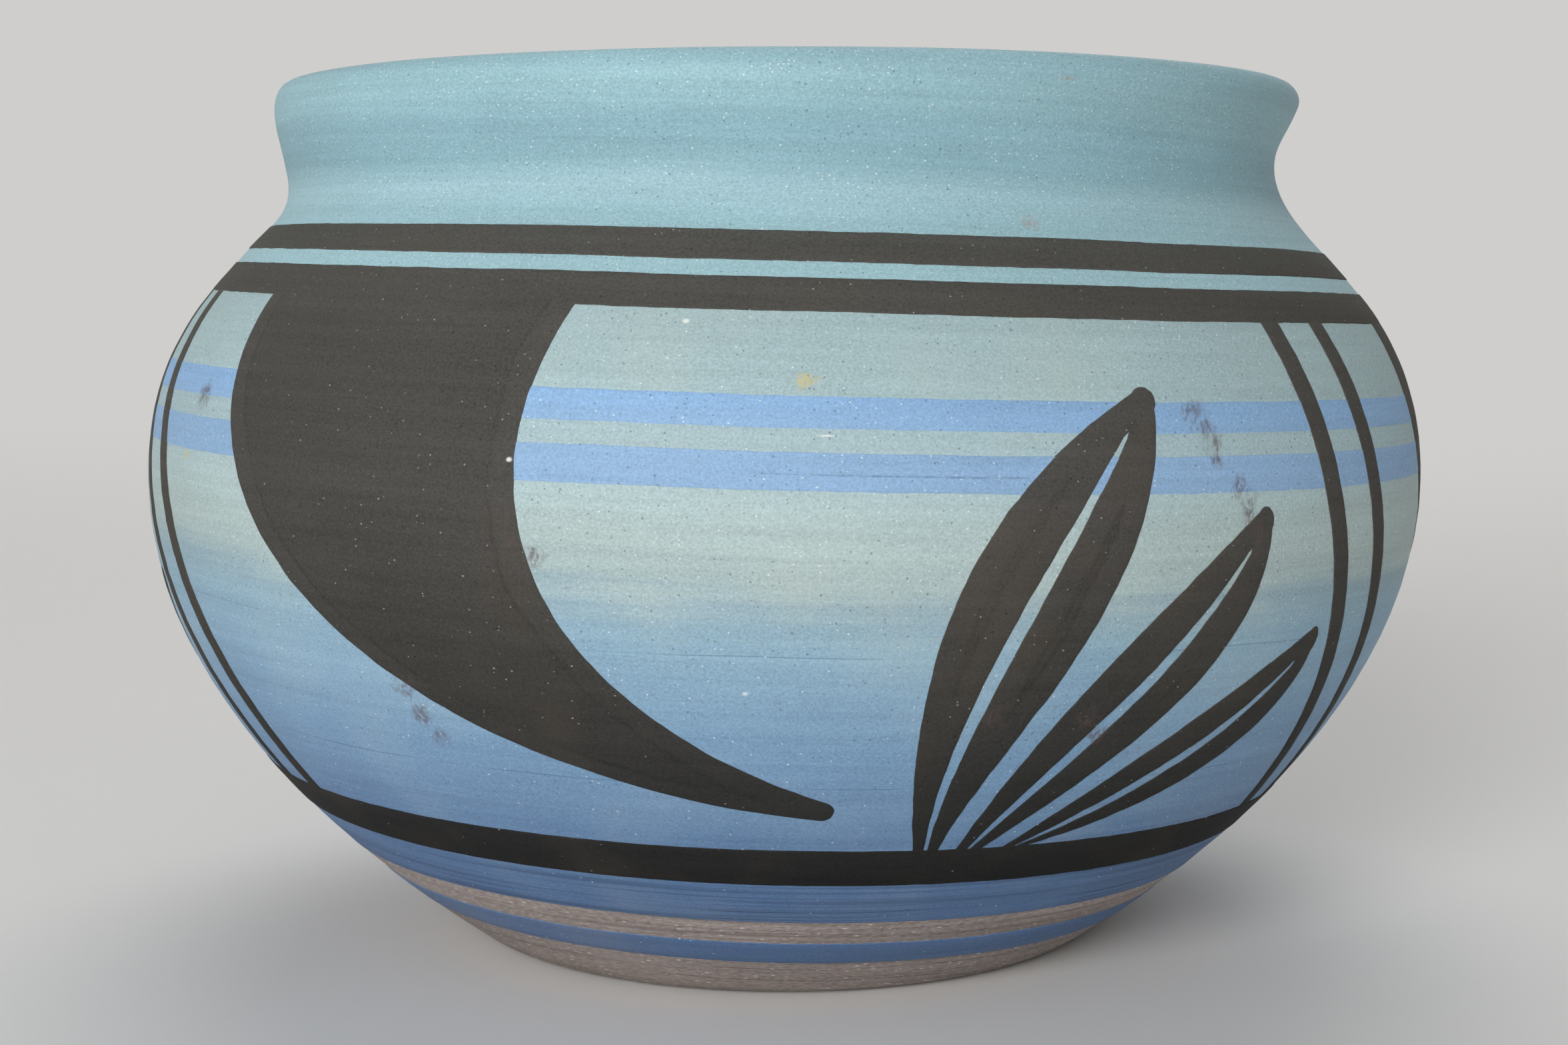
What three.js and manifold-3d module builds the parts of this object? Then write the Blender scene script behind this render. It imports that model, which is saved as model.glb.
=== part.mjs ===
// Painted vase: a turned clay pot with a wide shoulder, a short neck and a rounded lip,
// ringed by colour coats, with dark bands and dark brush figures on top of them.
// Millimetres, +Z up. Origin at the middle of the flat foot, front of the vase towards -Y.

import * as THREE from 'three';
import { mergeVertices } from 'three/addons/utils/BufferGeometryUtils.js';
import Module from 'manifold-3d';

// Wall of the pot, from the foot up. Each sweep is how far the curve holds its direction at that place.
const footRadius = 39;
const footSlope = 34.7; // degrees from level, where the wall leaves the foot
const footSweep = 17;
const bellyRadius = 79.6;
const bellyHeight = 58.1;
const bellySweepBelow = 27.3;
const bellySweepAbove = 15;
const shoulderInset = 11.25; // in from the belly
const shoulderRise = 26.5; // above the belly
const shoulderSlope = 48.4; // degrees from level, where the shoulder turns into the neck
const shoulderSweep = 5.8;
const neckInset = 6.95; // in from the shoulder
const neckRise = 10.4; // above the shoulder
const neckSweepBelow = 4;
const neckSweepAbove = 3;
const lipFlare = 2; // out from the neck
const lipRise = 8.2; // above the neck
const lipSweep = 2.2;
const crownInset = 2; // from the widest line of the lip in to its crest
const crownRise = 2.6; // from the widest line of the lip up to its crest
const wallThickness = 5;
const floorThickness = 6;

// Paint: colour coats lie on the clay, dark paint lies on the coats
const layerGap = 0.1;
const coatThickness = 0.3;
const darkThickness = 0.3;
const ringGap = 0.3; // between neighbouring coats
const lapDepth = 9; // how far the neck coat runs down inside the mouth
const paintTilt = 1.6; // degrees, all the bands lie lower towards +X

// Band widths, from the shoulder down and from the foot up
const bandHeight = 2.75; // first dark band's upper edge above the turn of the shoulder
const upperBandWidth = 3.15;
const bandGap = 1.6;
const lowerBandWidth = 3.4;
const stripeDrop = 8.1; // first stripe's upper edge below the dark bands
const upperStripeWidth = 3.3;
const stripeGap = 2.15;
const lowerStripeWidth = 3.95;
const blueDrop = 8; // where the blue coat takes over from the pale one
const bareFootHeight = 5.9;
const footStripeWidth = 3.3;
const bareBandWidth = 3.4;
const blueSkirtWidth = 5.6; // blue coat showing below the base band
const baseBandWidth = 4.75;

// Brush figures. Each has a left and a right edge, both cubic curves with four control points:
// degrees round the vase, and share of the way from the base band (0) up to the shoulder band (1).
// A figure with a quill is a feather, painted as two vanes with a bare line between them.
const figureRepeats = 3;
const figureStart = -54; // degrees from the front to the start of a repeat
const figures = {
  wing: {
    left: { degrees: [2, 3, 26, 57], shares: [1, 0.46, 0.14, 0.07] },
    right: { degrees: [37, 30, 36, 57.5], shares: [1, 0.62, 0.27, 0.11] },
  },
  tall_feather: {
    left: { degrees: [66, 62, 66, 81], shares: [0, 0.34, 0.7, 0.87] },
    right: { degrees: [68.5, 71, 82, 82.8], shares: [0, 0.24, 0.52, 0.84] },
    quill: true,
  },
  middle_feather: {
    left: { degrees: [70.5, 73.5, 80, 92.5], shares: [0, 0.21, 0.45, 0.65] },
    right: { degrees: [73.2, 80, 94, 94], shares: [0, 0.13, 0.36, 0.615] },
    quill: true,
  },
  low_feather: {
    left: { degrees: [75.2, 82, 90, 102], shares: [0, 0.12, 0.27, 0.41] },
    right: { degrees: [78, 87, 102, 103], shares: [0, 0.05, 0.16, 0.365] },
    quill: true,
  },
  left_reed: {
    left: { degrees: [97.5, 99, 107, 110.5], shares: [1, 0.72, 0.34, 0] },
    right: { degrees: [100, 101.5, 109.5, 113], shares: [1, 0.72, 0.34, 0] },
  },
  right_reed: {
    left: { degrees: [105, 106.5, 114.5, 118], shares: [1, 0.72, 0.34, 0] },
    right: { degrees: [107.5, 109, 117, 120.5], shares: [1, 0.72, 0.34, 0] },
  },
};
const quillWidth = 1.6; // widest part of the bare line between the two vanes of a feather
const quillEndWidth = 0.5;

// Fineness of the facets
const facetsRound = 36;
const facetsOutside = [6, 4, 2, 3]; // belly, shoulder, neck, flare
const facetsInside = [4, 3, 2, 2];
const facetsCrown = 2; // on each side of the lip's crest
const facetsFigure = 5; // along each edge of a figure

const clayFinish = { color: 0x8c7f78, roughness: 0.9, metalness: 0 };
const neckFinish = { color: 0xa1c5ce, roughness: 0.7, metalness: 0 };
const panelFinish = { color: 0xb4cbca, roughness: 0.75, metalness: 0 };
const stripeFinish = { color: 0x90b3d8, roughness: 0.75, metalness: 0 };
const blueFinish = { color: 0x7f9fbd, roughness: 0.75, metalness: 0 };
const footStripeFinish = { color: 0x5f7694, roughness: 0.8, metalness: 0 };
const darkFinish = { color: 0x3f3c39, roughness: 0.8, metalness: 0 };

const wasm = await Module();
wasm.setup();

const vase = new THREE.Group();
vase.name = 'painted_vase';

function point(x, y) {
  return new THREE.Vector2(x, y);
}

// Point reached from a start by going a distance in a direction given in degrees from level
function along(start, degrees, distance) {
  const turn = THREE.MathUtils.degToRad(degrees);
  return point(start.x + distance * Math.cos(turn), start.y + distance * Math.sin(turn));
}

// Places where the wall changes its course
const foot = point(footRadius, 0);
const belly = point(bellyRadius, bellyHeight);
const shoulder = point(belly.x - shoulderInset, belly.y + shoulderRise);
const neck = point(shoulder.x - neckInset, shoulder.y + neckRise);
const lip = point(neck.x + lipFlare, neck.y + lipRise);
const crest = point(lip.x - crownInset, lip.y + crownRise);

// Outer face of the wall, from the foot to the widest line of the lip
function wallLine(facets) {
  const up = 180 - shoulderSlope;
  const curves = [
    [foot, along(foot, footSlope, footSweep), point(belly.x, belly.y - bellySweepBelow), belly],
    [belly, point(belly.x, belly.y + bellySweepAbove), along(shoulder, up, -shoulderSweep), shoulder],
    [shoulder, along(shoulder, up, shoulderSweep), point(neck.x, neck.y - neckSweepBelow), neck],
    [neck, point(neck.x, neck.y + neckSweepAbove), point(lip.x, lip.y - lipSweep), lip],
  ];
  const line = [foot];
  curves.forEach((ends, i) => {
    line.push(...new THREE.CubicBezierCurve(...ends).getPoints(facets[i]).slice(1));
  });
  return line;
}

// Rounded top of the lip, from just after its widest line over the crest to the inner face
function crownLine() {
  const outside = new THREE.EllipseCurve(crest.x, lip.y, crownInset, crownRise, 0, Math.PI / 2);
  const innerReach = wallThickness - crownInset;
  const inside = new THREE.EllipseCurve(crest.x, lip.y, innerReach, crownRise, Math.PI / 2, Math.PI);
  return [...outside.getPoints(facetsCrown).slice(1), ...inside.getPoints(facetsCrown).slice(1)];
}

// A line moved sideways by a distance, to its right as it is walked, with mitred corners
function offsetLine(line, distance) {
  const sides = line.slice(1).map((end, i) => {
    const step = end.clone().sub(line[i]).normalize();
    return point(step.y, -step.x);
  });
  return line.map((corner, i) => {
    const before = sides[Math.max(i - 1, 0)];
    const after = sides[Math.min(i, sides.length - 1)];
    const mitre = before.clone().add(after).normalize();
    return corner.clone().addScaledVector(mitre, distance / mitre.dot(after));
  });
}

// Part of a rising line above a height, started exactly at that height
function lineAbove(line, height) {
  const first = line.findIndex((corner) => corner.y > height);
  const share = (height - line[first - 1].y) / (line[first].y - line[first - 1].y);
  return [line[first - 1].clone().lerp(line[first], share), ...line.slice(first)];
}

const wall = wallLine(facetsOutside);
const crown = crownLine();
const innerWall = lineAbove(offsetLine(wallLine(facetsInside), -wallThickness), floorThickness).slice(0, -1);

function turned(section) {
  const geometry = new THREE.LatheGeometry(section, facetsRound);
  return geometry.rotateX(Math.PI / 2);
}

function solidOf(geometry) {
  geometry.deleteAttribute('normal');
  geometry.deleteAttribute('uv');
  const merged = mergeVertices(geometry);
  const vertProperties = new Float32Array(merged.attributes.position.array);
  const triVerts = new Uint32Array(merged.index.array);
  return new wasm.Manifold(new wasm.Mesh({ numProp: 3, vertProperties, triVerts }));
}

function addPiece(name, solid, finish) {
  const { vertProperties, triVerts } = solid.getMesh();
  const geometry = new THREE.BufferGeometry();
  geometry.setAttribute('position', new THREE.BufferAttribute(vertProperties, 3));
  geometry.setIndex(new THREE.BufferAttribute(triVerts, 1));
  geometry.computeVertexNormals();
  const mesh = new THREE.Mesh(geometry, new THREE.MeshStandardMaterial(finish));
  mesh.name = name;
  vase.add(mesh);
}

// A thin skin that follows a line of the wall, from one distance off it to another
function skin(line, inner, outer) {
  const section = [...offsetLine(line, outer), ...offsetLine(line, inner).toReversed()];
  return solidOf(turned([...section, section[0]]));
}

// Everything between two heights, tilted as the painter held the brush
function level(low, high) {
  const reach = 4 * bellyRadius;
  const slab = new THREE.BoxGeometry(reach, reach, high - low);
  slab.translate(0, 0, (low + high) / 2);
  return solidOf(slab.rotateY(THREE.MathUtils.degToRad(paintTilt)));
}

// Heights of the paint at the axis of the vase, from the shoulder down
const upperBandTop = shoulder.y + bandHeight;
const upperBandFoot = upperBandTop - upperBandWidth;
const lowerBandTop = upperBandFoot - bandGap;
const lowerBandFoot = lowerBandTop - lowerBandWidth;
const neckCoatFoot = (lowerBandTop + lowerBandFoot) / 2;
const upperStripeTop = lowerBandFoot - stripeDrop;
const upperStripeFoot = upperStripeTop - upperStripeWidth;
const lowerStripeTop = upperStripeFoot - stripeGap;
const lowerStripeFoot = lowerStripeTop - lowerStripeWidth;
const blueTop = belly.y - blueDrop;

// Heights of the paint from the foot up
const footStripeTop = bareFootHeight + footStripeWidth;
const blueFoot = footStripeTop + bareBandWidth;
const baseBandFoot = blueFoot + blueSkirtWidth;
const baseBandTop = baseBandFoot + baseBandWidth;

function makeClay() {
  const inside = innerWall.toReversed();
  const section = [point(0, 0), ...wall, ...crown, ...inside, point(0, floorThickness)];
  addPiece('clay_body', solidOf(turned(section)), clayFinish);
}

function makeCoats() {
  const outer = layerGap + coatThickness;
  const lap = lineAbove(innerWall, lip.y - lapDepth).toReversed();
  const rimSkin = skin([...wall, ...crown, ...lap], layerGap, outer);
  addPiece('neck_coat', rimSkin.intersect(level(neckCoatFoot, 2 * crest.y)), neckFinish);

  const wallSkin = skin(wall, layerGap, outer);
  const rings = [
    ['upper_panel_coat', upperStripeTop, neckCoatFoot, panelFinish],
    ['upper_stripe', upperStripeFoot, upperStripeTop, stripeFinish],
    ['middle_panel_coat', lowerStripeTop, upperStripeFoot, panelFinish],
    ['lower_stripe', lowerStripeFoot, lowerStripeTop, stripeFinish],
    ['lower_panel_coat', blueTop, lowerStripeFoot, panelFinish],
    ['blue_coat', blueFoot, blueTop, blueFinish],
    ['foot_stripe', bareFootHeight, footStripeTop, footStripeFinish],
  ];
  for (const [name, low, high, finish] of rings) {
    addPiece(name, wallSkin.intersect(level(low, high - ringGap)), finish);
  }
}

// The two edges of a figure as curves on the unrolled wall, millimetres round it and up
function figureEdges({ left, right }, turn) {
  return [left, right].map(({ degrees, shares }) => {
    const corners = degrees.map((angle, i) => point(
      THREE.MathUtils.degToRad(angle + turn) * bellyRadius,
      THREE.MathUtils.lerp(baseBandTop, lowerBandFoot, shares[i]),
    ));
    return new THREE.CubicBezierCurve(...corners);
  });
}

// One side of the bare quill line, which runs half way between the edges and narrows to both ends
function quillSide(left, right, sign) {
  return Array.from({ length: facetsFigure + 1 }, (_, i) => {
    const share = i / facetsFigure;
    const start = left.getPoint(share);
    const end = right.getPoint(share);
    const across = end.clone().sub(start).normalize();
    const width = THREE.MathUtils.lerp(quillEndWidth, quillWidth, Math.sin(Math.PI * share));
    return start.lerp(end, 0.5).addScaledVector(across, sign * width / 2);
  });
}

// Outlines of a figure's brush strokes on the unrolled wall: one, or the two vanes of a feather
function strokeOutlines(name, figure, turn) {
  const [left, right] = figureEdges(figure, turn);
  const leftEdge = left.getPoints(facetsFigure);
  const rightEdge = right.getPoints(facetsFigure).toReversed();
  if (!figure.quill) {
    return [[name, [...leftEdge, ...rightEdge]]];
  }
  return [
    [`${name}_left`, [...leftEdge, ...quillSide(left, right, -1).toReversed()]],
    [`${name}_right`, [...quillSide(left, right, 1), ...rightEdge]],
  ];
}

// A closed outline on the unrolled wall, wrapped round the vase and pushed straight out from within the wall
function cutter(outline) {
  const outerRadius = bellyRadius + 4 * wallThickness;
  const shape = new THREE.Shape(outline);
  const geometry = new THREE.ExtrudeGeometry(shape, { bevelEnabled: false });
  const corners = geometry.attributes.position;
  for (let i = 0; i < corners.count; i++) {
    const angle = corners.getX(i) / bellyRadius;
    const height = corners.getY(i);
    const innerRadius = lineAbove(wall, height)[0].x - wallThickness;
    const radius = corners.getZ(i) > 0 ? outerRadius : innerRadius;
    corners.setXYZ(i, radius * Math.sin(angle), -radius * Math.cos(angle), height);
  }
  return solidOf(geometry.rotateY(THREE.MathUtils.degToRad(paintTilt)));
}

function makeDarkPaint() {
  const inner = 2 * layerGap + coatThickness;
  const darkSkin = skin(wall, inner, inner + darkThickness);
  addPiece('upper_shoulder_band', darkSkin.intersect(level(upperBandFoot, upperBandTop)), darkFinish);
  addPiece('lower_shoulder_band', darkSkin.intersect(level(lowerBandFoot, lowerBandTop)), darkFinish);
  addPiece('base_band', darkSkin.intersect(level(baseBandFoot, baseBandTop)), darkFinish);

  const panelSkin = darkSkin.intersect(level(baseBandTop + ringGap, lowerBandFoot - ringGap));
  for (let i = 0; i < figureRepeats; i++) {
    const turn = figureStart + i * 360 / figureRepeats;
    for (const [figureName, figure] of Object.entries(figures)) {
      for (const [name, outline] of strokeOutlines(figureName, figure, turn)) {
        addPiece(`${name}_${i + 1}`, panelSkin.intersect(cutter(outline)), darkFinish);
      }
    }
  }
}

makeClay();
makeCoats();
makeDarkPaint();

export default vase;
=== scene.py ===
import math
import bmesh
import bpy
import numpy as np
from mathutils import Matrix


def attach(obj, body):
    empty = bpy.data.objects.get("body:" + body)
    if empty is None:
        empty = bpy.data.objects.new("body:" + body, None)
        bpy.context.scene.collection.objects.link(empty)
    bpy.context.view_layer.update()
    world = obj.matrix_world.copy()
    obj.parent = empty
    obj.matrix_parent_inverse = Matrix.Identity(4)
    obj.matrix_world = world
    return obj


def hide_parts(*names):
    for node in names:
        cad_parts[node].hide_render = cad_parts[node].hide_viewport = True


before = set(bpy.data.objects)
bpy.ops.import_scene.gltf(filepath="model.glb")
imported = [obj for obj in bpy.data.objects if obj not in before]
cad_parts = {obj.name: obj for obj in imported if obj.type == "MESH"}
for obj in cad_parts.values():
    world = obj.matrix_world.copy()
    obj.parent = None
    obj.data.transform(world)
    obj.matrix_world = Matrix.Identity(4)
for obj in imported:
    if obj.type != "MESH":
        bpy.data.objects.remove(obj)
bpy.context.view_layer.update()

scene = bpy.context.scene
mm = 0.001
print("frame loaded")


def addObject(name, data):
    item = bpy.data.objects.new(name, data)
    scene.collection.objects.link(item)
    return item


# camera, where the photograph was taken from
photoCamera = {
    "imageWidth": 2353,  # pixels
    "focalLength": 3734,  # pixels
    "sensorWidth": 36.0,
    "distance": 321.0,  # mm in front of the vase's axis
    "height": 82.1,
    "pitch": 5.51,  # degrees down
    "clipStart": 0.01,  # metres
}


def addCamera(view):
    data = bpy.data.cameras.new("photoCamera")
    data.sensor_width = view["sensorWidth"]
    data.lens = view["sensorWidth"] * view["focalLength"] / view["imageWidth"]
    data.clip_start = view["clipStart"]
    camera = addObject("photoCamera", data)
    camera.location = (0, -view["distance"] * mm, view["height"] * mm)
    camera.rotation_euler = (math.radians(90 - view["pitch"]), 0, 0)
    scene.camera = camera


addCamera(photoCamera)
print("camera set")


# section of the pot in mm, with the turning points of the part's clay body and a slightly fuller lip
wallShape = {
    "footRadius": 39.0,
    "footEdge": 1.8,  # how far inside that radius the flat of the foot ends
    "footHandles": (12.0, 24.0),  # of the flat, from its middle
    "footEdgeSweeps": (1.4, 0.9),  # on the flat and on the wall
    "footSlope": 34.7,  # degrees from level
    "footSweep": 17.0,
    "footEase": 0.035,  # share of the lower wall taken up by the eased edge of the foot
    "belly": (79.6, 58.1),
    "bellySweeps": (27.3, 15.0),  # below and above
    "shoulder": (68.35, 84.6),
    "shoulderSlope": 48.4,
    "shoulderSweep": 5.8,
    "neck": (61.75, 95.0),
    "neckSweeps": (4.0, 3.0),
    "lip": (63.95, 103.5),
    "lipSweep": 2.2,
    "crest": (62.1, 106.15),
    "wall": 5.0,
    "innerFootSweep": 15.5,
    "innerBellySweeps": (25.4, 12.9),  # below and above
    "innerShoulderSweeps": (4.9, 7.5),
    "innerNeckSweeps": (5.5, 3.0),
    "innerLipSweep": 2.2,
    "floor": 6.0,
    "floorFlat": 31.0,  # radius of the level floor
    "floorHandle": 10.0,
    "floorSweep": 5.0,
    "floorEase": 0.17,  # share of the inner lower wall taken up by its curve into the floor
    "curveSteps": 24,
}


def heading(degrees):
    turn = math.radians(degrees)
    return np.array([math.cos(turn), math.sin(turn)])


# the rest of a cubic curve after a share of it
def curveAfter(curve, share):
    a, b, c, d = curve
    ab, bc, cd = a + (b - a) * share, b + (c - b) * share, c + (d - c) * share
    abc, bcd = ab + (bc - ab) * share, bc + (cd - bc) * share
    return [abc + (bcd - abc) * share, bcd, cd, d]


# one cubic curve for each stretch, from the middle of the foot up the outside and down the inside
def sectionCurves(shape):
    right, up = np.array([1.0, 0.0]), np.array([0.0, 1.0])
    foot = right * shape["footRadius"]
    belly, shoulder, neck, lip, crest = (
        np.array(shape[key]) for key in ("belly", "shoulder", "neck", "lip", "crest"))
    rising = heading(shape["footSlope"])
    leaning = heading(180 - shape["shoulderSlope"])
    below, above = shape["bellySweeps"]
    neckBelow, neckAbove = shape["neckSweeps"]
    sweep = shape["shoulderSweep"]
    arc = 0.5523  # handle length of a quarter ellipse

    lower = [foot, foot + rising * shape["footSweep"], belly - up * below, belly]
    lower = curveAfter(lower, shape["footEase"])
    footFlat = foot - right * shape["footEdge"]
    nearMiddle, nearEdge = shape["footHandles"]
    flatSweep, wallSweep = shape["footEdgeSweeps"]
    outside = [
        [right * 0, right * nearMiddle, right * nearEdge, footFlat],
        [footFlat, footFlat + right * flatSweep, lower[0] - rising * wallSweep, lower[0]],
        lower,
        [belly, belly + up * above, shoulder - leaning * sweep, shoulder],
        [shoulder, shoulder + leaning * sweep, neck - up * neckBelow, neck],
        [neck, neck + up * neckAbove, lip - up * shape["lipSweep"], lip],
        [lip, lip + up * arc * (crest[1] - lip[1]), crest + right * arc * (lip[0] - crest[0]), crest],
    ]

    inward = -right * shape["wall"]
    innerLip, innerNeck, innerBelly = lip + inward, neck + inward, belly + inward
    innerShoulder = shoulder - shape["wall"] * np.array([leaning[1], -leaning[0]])
    innerFoot = foot + shape["wall"] * np.array([-rising[1], rising[0]])
    below, above = shape["innerBellySweeps"]
    shoulderBelow, shoulderAbove = shape["innerShoulderSweeps"]
    neckBelow, neckAbove = shape["innerNeckSweeps"]
    innerWall = [innerFoot, innerFoot + rising * shape["innerFootSweep"], innerBelly - up * below, innerBelly]
    innerWall = curveAfter(innerWall, shape["floorEase"])
    floor = up * shape["floor"]
    floorFlat = floor + right * shape["floorFlat"]
    floorHandle, sweep = right * shape["floorHandle"], shape["floorSweep"]
    crestHandle = crest - right * arc * (crest[0] - innerLip[0])
    inside = [
        [crest, crestHandle, innerLip + up * arc * (crest[1] - lip[1]), innerLip],
        [innerLip, innerLip - up * shape["innerLipSweep"], innerNeck + up * neckAbove, innerNeck],
        [innerNeck, innerNeck - up * neckBelow, innerShoulder + leaning * shoulderAbove, innerShoulder],
        [innerShoulder, innerShoulder - leaning * shoulderBelow, innerBelly + up * above, innerBelly],
        innerWall[::-1],
        [innerWall[0], innerWall[0] - rising * sweep, floorFlat + right * sweep, floorFlat],
        [floorFlat, floorFlat - floorHandle, floor + floorHandle, floor],
    ]
    return outside, inside


# points at shares of the way along a cubic curve
def curvePoints(curve, share):
    a, b, c, d = curve
    rest = 1 - share
    return rest**3 * a + 3 * rest**2 * share * b + 3 * rest * share**2 * c + share**3 * d


# the section as points every curveSteps-th of a curve, as the curve object is evaluated too
def sectionLine(curves, steps):
    share = (np.arange(steps) / steps)[:, None]
    return np.vstack([curvePoints(curve, share) for curve in curves] + [curves[-1][3][None]])


outsideCurves, insideCurves = sectionCurves(wallShape)
wallCurves = outsideCurves + insideCurves
wallLine = sectionLine(wallCurves, wallShape["curveSteps"])
wallLengths = np.concatenate([[0], np.cumsum(np.linalg.norm(np.diff(wallLine, axis=0), axis=1))])
footIndex = wallShape["curveSteps"]
crestIndex = len(outsideCurves) * wallShape["curveSteps"]


# length along the section, in mm, where the outer face reaches a height
def lengthAt(height):
    outer = slice(footIndex, crestIndex + 1)
    return np.interp(height, wallLine[outer, 1], wallLengths[outer])


# length along the section where the inner face, on its way down, reaches a height
def innerLengthAt(height):
    inner = slice(crestIndex, len(wallLine))
    return np.interp(-height, -wallLine[inner, 1], wallLengths[inner])


def radiusAt(height):
    return np.interp(lengthAt(height), wallLengths, wallLine[:, 0])


def addProfile(curves):
    data = bpy.data.curves.new("wallProfile", "CURVE")
    data.dimensions = "3D"
    spline = data.splines.new("BEZIER")
    spline.resolution_u = wallShape["curveSteps"]
    spline.bezier_points.add(len(curves))
    ends = [curve[0] for curve in curves] + [curves[-1][3]]
    before = [curves[0][0]] + [curve[2] for curve in curves]
    after = [curve[1] for curve in curves] + [curves[-1][3]]
    for knot, place, back, ahead in zip(spline.bezier_points, ends, before, after):
        knot.handle_left_type = knot.handle_right_type = "FREE"
        knot.co = (place[0] * mm, 0, place[1] * mm)
        knot.handle_left = (back[0] * mm, 0, back[1] * mm)
        knot.handle_right = (ahead[0] * mm, 0, ahead[1] * mm)
    return addObject("wallProfile", data)


wallProfile = addProfile(wallCurves)
print("section drawn,", round(float(wallLengths[-1]), 1), "mm long")


# helpers for both kinds of node trees: this one wires a socket to another one, or sets its value
def feed(tree, socket, value):
    if isinstance(value, bpy.types.NodeSocket):
        tree.links.new(value, socket)
    else:
        socket.default_value = value


# a node with its settings and its inputs, which come in order or by name
def addNode(tree, kind, values=(), **settings):
    node = tree.nodes.new(kind)
    for key, setting in settings.items():
        setattr(node, key, setting)
    for key, value in values.items() if isinstance(values, dict) else enumerate(values):
        feed(tree, node.inputs[key], value)
    return node


def calc(tree, operation, *values):
    return addNode(tree, "ShaderNodeMath", values, operation=operation).outputs[0]


def times(tree, first, second):
    return calc(tree, "MULTIPLY", first, second)


def plus(tree, first, second):
    return calc(tree, "ADD", first, second)


def minus(tree, first, second):
    return calc(tree, "SUBTRACT", first, second)


def vectorCalc(tree, operation, *values):
    node = addNode(tree, "ShaderNodeVectorMath", values, operation=operation)
    return node.outputs["Value"] if operation == "LENGTH" else node.outputs["Vector"]


def remap(tree, value, fromLow, fromHigh, toLow, toHigh, smooth=False):
    values = {"Value": value, "From Min": fromLow, "From Max": fromHigh, "To Min": toLow, "To Max": toHigh}
    steps = "SMOOTHSTEP" if smooth else "LINEAR"
    return addNode(tree, "ShaderNodeMapRange", values, interpolation_type=steps).outputs[0]


def noise(tree, vector, scale, detail, seed):
    values = {"Vector": vector, "Scale": scale, "Detail": detail, "W": seed}
    return addNode(tree, "ShaderNodeTexNoise", values, noise_dimensions="4D")


noiseSpan = (0.25, 0.75)  # where most of a noise lies


# noise as a number from about -1 to 1
def sway(tree, vector, scale, detail, seed):
    return remap(tree, noise(tree, vector, scale, detail, seed).outputs[0], *noiseSpan, -1.0, 1.0)


def combine(tree, x, y, z):
    return addNode(tree, "ShaderNodeCombineXYZ", (x, y, z)).outputs[0]


def separate(tree, vector):
    return addNode(tree, "ShaderNodeSeparateXYZ", [vector]).outputs


# hand-made unevenness of the whole pot, shared by every piece
handWork = {
    "Belly radius": wallShape["belly"][0] * mm,
    "Tilt": math.radians(1.6),  # of the painted bands, lower towards +X
    "Turning marks": 0.05 * mm,  # height of the rings left by turning
    "Lip sway": 1.15 * mm,  # how far the waist under the lip sits higher on the right
    "Lip lean": 0.7 * mm,  # how far the lip sits to the right of the waist
}
# where that unevenness sets in and fades out, in metres up, and its noises as scale and detail
handSpread = {
    "slowWaver": (24.0, 2.0),
    "quickWaver": (420.0, 3.0),
    "quickShare": 0.45,  # of the slow one
    "tiltFade": (0.088, 0.098),
    "leastSlope": 0.3,  # a flatter wall counts as this steep
    "ringStretch": (0.9, 0.9, 240.0),
    "ringNoise": (1.0, 3.0),
    "ringSeed": 4.0,
    "ringFade": (0.0, 0.004),
    "swayIn": (0.086, 0.095),
    "swayOut": (0.1012, 0.1062),
    "leanIn": (0.096, 0.1035),
    "waistLean": 0.5,  # how far the waist leans the other way, against the lip
}
wrapInputs = {
    "Geometry": "Geometry", "Wall profile": "Object", "Repeats": "Int", "Belly radius": "Float",
    "Tilt": "Float", "Turning marks": "Float", "Lip sway": "Float", "Lip lean": "Float",
    "Edge wobble": "Float", "Seed": "Float", "Finish": "Material",
}


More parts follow.
